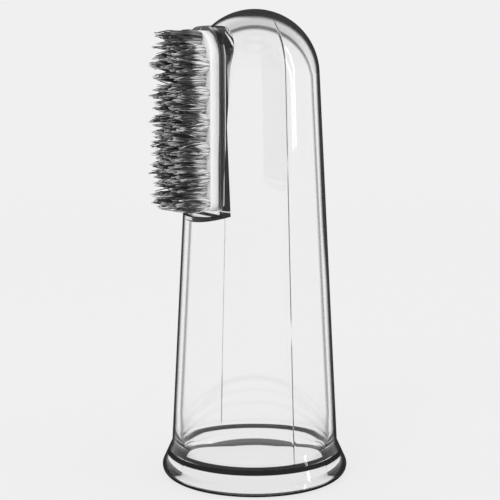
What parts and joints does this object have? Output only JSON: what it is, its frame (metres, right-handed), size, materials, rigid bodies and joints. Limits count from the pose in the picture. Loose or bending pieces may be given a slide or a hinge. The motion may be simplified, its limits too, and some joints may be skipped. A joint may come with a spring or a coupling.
{
  "type": "finger toothbrush",
  "caption": "Clear thimble-shaped finger sleeve with a domed tip and a rolled rim, carrying a plate of dark bristle tufts on one side of the tip, for brushing a pet's teeth.",
  "frame": {"origin": "centre of the rim's resting face, on the sleeve's axis", "axes": "+Z from the mouth to the domed tip, -X the way the bristles face, +Y across the bristle plate"},
  "size_m": [0.0246, 0.024, 0.0595],
  "materials": {
    "clear_sleeve": "clear, polished moulding",
    "plate": "satin off-white moulding",
    "backing": "melted charcoal nylon",
    "bristles": "charcoal nylon filament"
  },
  "bodies": {
    "root": {"finger_sleeve": "clear_sleeve", "bristle_plate": "plate", "tuft_backing": "backing"},
    "bristle_row_01": {"tuft_01_1": "bristles", "tuft_01_2": "bristles", "tuft_01_3": "bristles"},
    "bristle_row_02": {"tuft_02_1": "bristles", "tuft_02_2": "bristles", "tuft_02_3": "bristles", "tuft_02_4": "bristles"},
    "bristle_row_03": {"tuft_03_1": "bristles", "tuft_03_2": "bristles", "tuft_03_3": "bristles", "tuft_03_4": "bristles", "tuft_03_5": "bristles"},
    "bristle_row_04": {"tuft_04_1": "bristles", "tuft_04_2": "bristles", "tuft_04_3": "bristles", "tuft_04_4": "bristles"},
    "bristle_row_05": {"tuft_05_1": "bristles", "tuft_05_2": "bristles", "tuft_05_3": "bristles", "tuft_05_4": "bristles", "tuft_05_5": "bristles"},
    "bristle_row_06": {"tuft_06_1": "bristles", "tuft_06_2": "bristles", "tuft_06_3": "bristles", "tuft_06_4": "bristles"},
    "bristle_row_07": {"tuft_07_1": "bristles", "tuft_07_2": "bristles", "tuft_07_3": "bristles", "tuft_07_4": "bristles", "tuft_07_5": "bristles"},
    "bristle_row_08": {"tuft_08_1": "bristles", "tuft_08_2": "bristles", "tuft_08_3": "bristles", "tuft_08_4": "bristles"},
    "bristle_row_09": {"tuft_09_1": "bristles", "tuft_09_2": "bristles", "tuft_09_3": "bristles", "tuft_09_4": "bristles", "tuft_09_5": "bristles"},
    "bristle_row_10": {"tuft_10_1": "bristles", "tuft_10_2": "bristles", "tuft_10_3": "bristles", "tuft_10_4": "bristles"},
    "bristle_row_11": {"tuft_11_1": "bristles", "tuft_11_2": "bristles", "tuft_11_3": "bristles", "tuft_11_4": "bristles", "tuft_11_5": "bristles"},
    "bristle_row_12": {"tuft_12_1": "bristles", "tuft_12_2": "bristles", "tuft_12_3": "bristles", "tuft_12_4": "bristles"},
    "bristle_row_13": {"tuft_13_1": "bristles", "tuft_13_2": "bristles", "tuft_13_3": "bristles", "tuft_13_4": "bristles", "tuft_13_5": "bristles"}
  },
  "joints": [
    {"name": "row_01_lean", "type": "hinge", "parent": "root", "child": "bristle_row_01", "pos_m": [-0.0084, 0, 0.0557], "axis": [0, 1, 0], "range_deg": [-25, 25], "stiffness_Nm_per_rad": 0.006},
    {"name": "row_02_lean", "type": "hinge", "parent": "root", "child": "bristle_row_02", "pos_m": [-0.0084, 0, 0.05403], "axis": [0, 1, 0], "range_deg": [-25, 25], "stiffness_Nm_per_rad": 0.006},
    {"name": "row_03_lean", "type": "hinge", "parent": "root", "child": "bristle_row_03", "pos_m": [-0.0084, 0, 0.05237], "axis": [0, 1, 0], "range_deg": [-25, 25], "stiffness_Nm_per_rad": 0.006},
    {"name": "row_04_lean", "type": "hinge", "parent": "root", "child": "bristle_row_04", "pos_m": [-0.0084, 0, 0.0507], "axis": [0, 1, 0], "range_deg": [-25, 25], "stiffness_Nm_per_rad": 0.006},
    {"name": "row_05_lean", "type": "hinge", "parent": "root", "child": "bristle_row_05", "pos_m": [-0.0084, 0, 0.04903], "axis": [0, 1, 0], "range_deg": [-25, 25], "stiffness_Nm_per_rad": 0.006},
    {"name": "row_06_lean", "type": "hinge", "parent": "root", "child": "bristle_row_06", "pos_m": [-0.0084, 0, 0.04737], "axis": [0, 1, 0], "range_deg": [-25, 25], "stiffness_Nm_per_rad": 0.006},
    {"name": "row_07_lean", "type": "hinge", "parent": "root", "child": "bristle_row_07", "pos_m": [-0.0084, 0, 0.0457], "axis": [0, 1, 0], "range_deg": [-25, 25], "stiffness_Nm_per_rad": 0.006},
    {"name": "row_08_lean", "type": "hinge", "parent": "root", "child": "bristle_row_08", "pos_m": [-0.0084, 0, 0.04403], "axis": [0, 1, 0], "range_deg": [-25, 25], "stiffness_Nm_per_rad": 0.006},
    {"name": "row_09_lean", "type": "hinge", "parent": "root", "child": "bristle_row_09", "pos_m": [-0.0084, 0, 0.04237], "axis": [0, 1, 0], "range_deg": [-25, 25], "stiffness_Nm_per_rad": 0.006},
    {"name": "row_10_lean", "type": "hinge", "parent": "root", "child": "bristle_row_10", "pos_m": [-0.0084, 0, 0.0407], "axis": [0, 1, 0], "range_deg": [-25, 25], "stiffness_Nm_per_rad": 0.006},
    {"name": "row_11_lean", "type": "hinge", "parent": "root", "child": "bristle_row_11", "pos_m": [-0.0084, 0, 0.03903], "axis": [0, 1, 0], "range_deg": [-25, 25], "stiffness_Nm_per_rad": 0.006},
    {"name": "row_12_lean", "type": "hinge", "parent": "root", "child": "bristle_row_12", "pos_m": [-0.0084, 0, 0.03737], "axis": [0, 1, 0], "range_deg": [-25, 25], "stiffness_Nm_per_rad": 0.006},
    {"name": "row_13_lean", "type": "hinge", "parent": "root", "child": "bristle_row_13", "pos_m": [-0.0084, 0, 0.0357], "axis": [0, 1, 0], "range_deg": [-25, 25], "stiffness_Nm_per_rad": 0.006}
  ],
  "couplings": [
    {"joint": "row_01_lean", "follows": "row_07_lean", "ratio": 1},
    {"joint": "row_02_lean", "follows": "row_07_lean", "ratio": 1},
    {"joint": "row_03_lean", "follows": "row_07_lean", "ratio": 1},
    {"joint": "row_04_lean", "follows": "row_07_lean", "ratio": 1},
    {"joint": "row_05_lean", "follows": "row_07_lean", "ratio": 1},
    {"joint": "row_06_lean", "follows": "row_07_lean", "ratio": 1},
    {"joint": "row_08_lean", "follows": "row_07_lean", "ratio": 1},
    {"joint": "row_09_lean", "follows": "row_07_lean", "ratio": 1},
    {"joint": "row_10_lean", "follows": "row_07_lean", "ratio": 1},
    {"joint": "row_11_lean", "follows": "row_07_lean", "ratio": 1},
    {"joint": "row_12_lean", "follows": "row_07_lean", "ratio": 1},
    {"joint": "row_13_lean", "follows": "row_07_lean", "ratio": 1}
  ]
}
